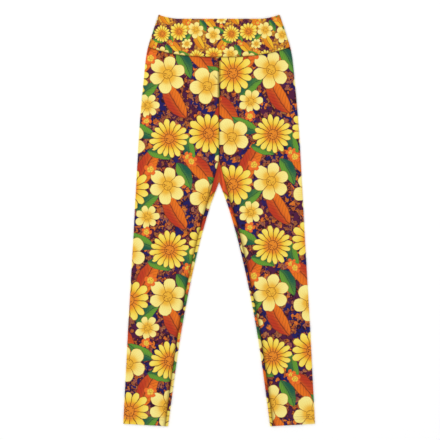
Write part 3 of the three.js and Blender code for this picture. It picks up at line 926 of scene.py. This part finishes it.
def gusset_surface():
    """Rows run from the front seam to the fold, round it by half a turn, and on to the back seam.
    Into the garment from the fold is straight up at the fork and sideways at the two points."""
    share = steps(GUSSET_ROWS, -1, 1)[:, None]
    s, sign = np.abs(share), np.where(share < 0, -1.0, 1.0)
    lean = ease(np.clip(s / GUSSET_LEAN, 0, 1)) * np.pi / 2
    in_x, in_down = np.sin(lean), -np.cos(lean)

    def fold(turn):
        """Where the middle of the wall is at that turn of the fold, from pi/2 on top to -pi/2."""
        wrapped = lerp(GUSSET_BACK, GUSSET_WRAP, turn / np.pi + 0.5)
        down = lerp(FORK, wrapped, s)
        inset = FOLD_WIDTH - FOLD_RADIUS * np.cos(turn)
        return inner_at(down) + in_x * inset, down + in_down * inset

    start_x = s * inseam_at(np.array(GUSSET_TIP))
    start_down = lerp(CROTCH, GUSSET_TIP, s)
    end_x = s * (inner_at(np.array(GUSSET_BACK)) + FOLD_WIDTH)
    end_down = lerp(CROTCH, GUSSET_BACK, s)
    top_x, top_down = fold(np.full_like(s, np.pi / 2))
    low_x, low_down = fold(np.full_like(s, -np.pi / 2))
    t = steps(GUSSET_FRONT_STEPS)[None, :-1]
    x, down = lerp(start_x, top_x, t), lerp(start_down, top_down, t)
    pieces = [(x, down, front_height(sign * x, down), 0 * x, 0 * x, 0 * x + 1)]
    turn = steps(ARC_STEPS, np.pi / 2, -np.pi / 2)[None, :] + 0 * s
    x, down = fold(turn)
    z = CLOTH / 2 + FOLD_RADIUS * (1 + np.sin(turn))
    pieces.append((x, down, z, -in_x * np.cos(turn), in_down * np.cos(turn), np.sin(turn)))
    t = steps(GUSSET_UNDER_STEPS)[None, 1:]
    x, down = lerp(low_x, end_x, t), lerp(low_down, end_down, t)
    pieces.append((x, down, 0 * x + CLOTH / 2, 0 * x, 0 * x, 0 * x - 1))
    x, down, z, out_x, out_y, out_z = (np.hstack(column) for column in zip(*pieces))
    place = np.stack([sign * x, LENGTH / 2 - down, z], axis=-1)
    return place, np.stack([sign * out_x, out_y, out_z], axis=-1)


place, out = gusset_surface()
run = along_rows(place)
to_point = (1 - np.abs(steps(GUSSET_ROWS, -1, 1)[:, None])) * GUSSET_POINT
sewn = np.minimum(np.minimum(run, run[:, -1:] - run), to_point)
cut = np.stack([place[..., 0], -run], axis=-1)
thin = rolled(sewn, SEWN_ROLL) * CLOTH / 2
place = over_allowance(place, out, sewn)
gusset_print = cloth_finish(
    "gusset_print", (29.0, 9.0), 1.0, GUSSET_RED, GUSSET_DEEP_RED, 0.25, FLAME)
# The gusset's colour takes painted seam shade along its sewn edges
gusset = cloth_mesh("crotch_gusset", place, out, cut, thin, thin, seam_shade(sewn), gusset_print,
                    True)
sheet_facts(gusset, "gusset")


# The waistband
# Two curved halves of doubled cloth, folded along the top edge and joined at the sides. The top
# edge dips between the side tips, and the lower edge bows down to the centre front and back.
BAND_CLOTH = 1.8
BAND_FOLD_RADIUS = 1.8
BAND_FOLD_WIDTH = BAND_FOLD_RADIUS + BAND_CLOTH / 2
TOP_DIP = 9.7
TOP_RISE = 0.66               # share of the way to the side fold where the top edge starts to rise
TOP_POWER = 1.6
TOP_ROLL = 0.9                # how far in from the top edge the wall is round
BAND_SHADE = 0.8              # less painted seam shade: its doubled cloth turns in less at a seam
BAND_PRINT_SCALE = 0.44
AMBER = (0.86, 0.40, 0.03)
BAND_ARC_STEPS = 8
BAND_FLAT_STEPS = 190
BAND_ROWS = np.concatenate([
    np.array([0, 0.0012, 0.003, 0.006, 0.01, 0.015, 0.022, 0.032, 0.045]), steps(70, 0.06, 0.94),
    1 - np.array([0.05, 0.04, 0.03, 0.022, 0.015, 0.009, 0.005, 0.002, 0])])


def top_edge(share):
    """How far down the top edge lies: TOP_DIP (1 - t^TOP_POWER), where t runs from 0 at TOP_RISE
    to 1 at the side fold."""
    return TOP_DIP * (1 - share_of(np.abs(share), TOP_RISE, 1) ** TOP_POWER)


def band_height(x, down):
    """Height of the middle of the front half's wall: higher near each edge and the side folds."""
    share = x / side_at(down)
    edges = [side_at(down) - np.abs(x) - BAND_FOLD_WIDTH, down - top_edge(share),
             waist_seam(share) - down]
    near = 1 - np.prod([1 - nearness(edge) for edge in edges], axis=0)
    spread = 2 * BAND_FOLD_RADIUS - BAND_CLOTH - LAYER_GAP
    return 1.5 * BAND_CLOTH + LAYER_GAP + spread * near


def band_half(name, is_front, finish):
    """Rows go from one side seam, at mid height in the fold, over the front or under the back to
    the other side seam. Its ends are quarter turns of the side folds."""
    side = 1 if is_front else -1
    t = BAND_ROWS[:, None]
    middle = BAND_CLOTH / 2 + BAND_FOLD_RADIUS

    def down_at(share):
        """Levels of the rows there: t of the way from the top edge to the waist seam."""
        return lerp(top_edge(share), waist_seam(share), t)

    end_down = down_at(1.0)
    fold_x = side_at(end_down) - BAND_FOLD_WIDTH
    turn = steps(BAND_ARC_STEPS, 0, np.pi / 2)[None, :] + 0 * t
    arc = (fold_x + BAND_FOLD_RADIUS * np.cos(turn), end_down + 0 * turn,
           middle + side * BAND_FOLD_RADIUS * np.sin(turn), np.cos(turn), side * np.sin(turn))
    left = [arc[0] * -1, arc[1], arc[2], arc[3] * -1, arc[4]]
    right = [column[:, ::-1] for column in arc]
    reach = fold_x / side_at(end_down)
    share = lerp(-reach, reach, steps(BAND_FLAT_STEPS)[None, 1:-1])
    down = down_at(share)
    x = share * side_at(down)
    z = band_height(x, down) if is_front else 0 * x + BAND_CLOTH / 2
    flat = (x, down, z, 0 * x, 0 * x + side)
    x, down, z, out_x, out_z = (np.hstack(column) for column in zip(left, flat, right))
    place = np.stack([x, LENGTH / 2 - down, z], axis=-1)
    out = np.stack([out_x, 0 * out_x, out_z], axis=-1)
    run = along_rows(place)
    run_middle = run - run[:, -1:] / 2
    cut = np.stack([run_middle * side, -down + 0 * run], axis=-1)
    share = np.clip(np.abs(x) / side_at(down), 0, 1)
    from_top = down - top_edge(share)
    to_waist = np.maximum(waist_seam(share) - down, 0)
    to_side = np.minimum(run, run[:, -1:] - run)
    sewn = np.minimum(to_waist, to_side)
    thin = rolled(from_top, TOP_ROLL) * rolled(sewn, SEWN_ROLL) * BAND_CLOTH / 2
    return cloth_mesh(name, place, out, cut, thin, thin, seam_shade(sewn) * BAND_SHADE, finish,
                      not is_front)


waistband_print = cloth_finish(
    "waistband_print", (30.0, 10.0), BAND_PRINT_SCALE, AMBER, AUBERGINE, 0.6, HONEY)
for side in ("front", "back"):
    band = band_half("waistband_" + side, side == "front", waistband_print)
    sheet_facts(band, side + "_waistband")


# The hem stitches
# Two rows of aubergine thread, about 6 mm apart, hold up each hem all round. Each stitch is a
# short length of thread whose ends go down into the cloth.
THREAD = 0.36                 # diameter
STITCH_PITCH = 2.9
STITCH_LENGTH = 2.4
STITCH_SINK = 0.9             # of the thread's thickness, at a stitch's ends
THREAD_DARK = (0.05, 0.008, 0.03)
THREAD_LIT = (0.12, 0.03, 0.08)
PLY_SIZE = 0.5
STITCH_RINGS = 5
STITCH_SIDES = 6


def hem_stitches(name, sign):
    """For each stitch, rings of thread at points along it: the middle one lies in the pressed
    groove, and the end ones are sunk by STITCH_SINK of the thread's thickness."""
    rings = steps(STITCH_RINGS - 1, -1, 1)
    sides = np.arange(STITCH_SIDES) * 2 * np.pi / STITCH_SIDES
    points = []
    for up in HEM_STITCH_ROWS:
        place, out, _ = leg_surface(np.array([LENGTH - up]), sign)
        line, out = (place + (CLOTH / 2 - STITCH_PRESS + THREAD / 2) * out)[0], out[0]
        run = along_rows(line[None])[0]
        starts = np.arange(STITCH_PITCH, run[-1] - STITCH_PITCH, STITCH_PITCH)
        at = starts[:, None] + rings[None, :] * STITCH_LENGTH / 2
        centre = np.stack([np.interp(at, run, line[:, k]) for k in range(3)], axis=-1)
        up_way = np.stack([np.interp(at, run, out[:, k]) for k in range(3)], axis=-1)
        up_way /= np.linalg.norm(up_way, axis=-1, keepdims=True)
        forward = np.gradient(centre, axis=1)
        forward /= np.linalg.norm(forward, axis=-1, keepdims=True)
        across = np.cross(forward, up_way)
        centre = centre - (rings[None, :, None] ** 4) * THREAD * STITCH_SINK * up_way
        ring = (np.cos(sides)[:, None] * up_way[:, :, None, :]
                + np.sin(sides)[:, None] * across[:, :, None, :]) * THREAD / 2
        points.append(centre[:, :, None, :] + ring)
    points = np.concatenate(points)
    points[..., 2] = np.maximum(points[..., 2], 0.0)
    count = len(points)
    k, r = np.meshgrid(np.arange(STITCH_RINGS - 1), np.arange(STITCH_SIDES), indexing="ij")
    after = (r + 1) % STITCH_SIDES
    quad = np.stack([k * STITCH_SIDES + r, k * STITCH_SIDES + after,
                     (k + 1) * STITCH_SIDES + after, (k + 1) * STITCH_SIDES + r], axis=-1)
    per_stitch = STITCH_RINGS * STITCH_SIDES
    quads = (quad.reshape(1, -1, 4) + np.arange(count)[:, None, None] * per_stitch).reshape(-1, 4)
    caps = []
    for first, order in ((0, 1), (per_stitch - STITCH_SIDES, -1)):
        cap = first + np.arange(STITCH_SIDES)[::-order]
        caps.append(cap[None, :] + np.arange(count)[:, None] * per_stitch)
    mesh = bpy.data.meshes.new(name)
    faces = [*quads.tolist(), *np.concatenate(caps).tolist()]
    mesh.from_pydata((points.reshape(-1, 3) * MM).tolist(), [], faces)
    mesh.polygons.foreach_set("use_smooth", np.ones(len(faces), bool))
    mesh.materials.append(thread_finish)
    piece = bpy.data.objects.new(name, mesh)
    bpy.context.scene.collection.objects.link(piece)
    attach(piece, "root")


thread_finish = bpy.data.materials.new("thread_finish")
thread_finish.use_nodes = True
thread_tree = thread_finish.node_tree
thread_shader = thread_tree.nodes["Principled BSDF"]
thread_place = thread_tree.nodes.new("ShaderNodeTexCoord")
thread_size = thread_tree.nodes.new("ShaderNodeMapping")
thread_size.inputs["Scale"].default_value = (1 / MM, 1 / MM, 1 / MM)
thread_tree.links.new(thread_place.outputs["Object"], thread_size.inputs["Vector"])
ply = noise(thread_tree, Value(thread_tree, thread_size.outputs["Vector"]), PLY_SIZE)
feed(thread_tree, thread_shader.inputs["Base Color"],
     blend(thread_tree, ply, THREAD_DARK, THREAD_LIT))
thread_shader.inputs["Roughness"].default_value = 0.45
hem_stitches("left_hem_stitches", 1)
hem_stitches("right_hem_stitches", -1)
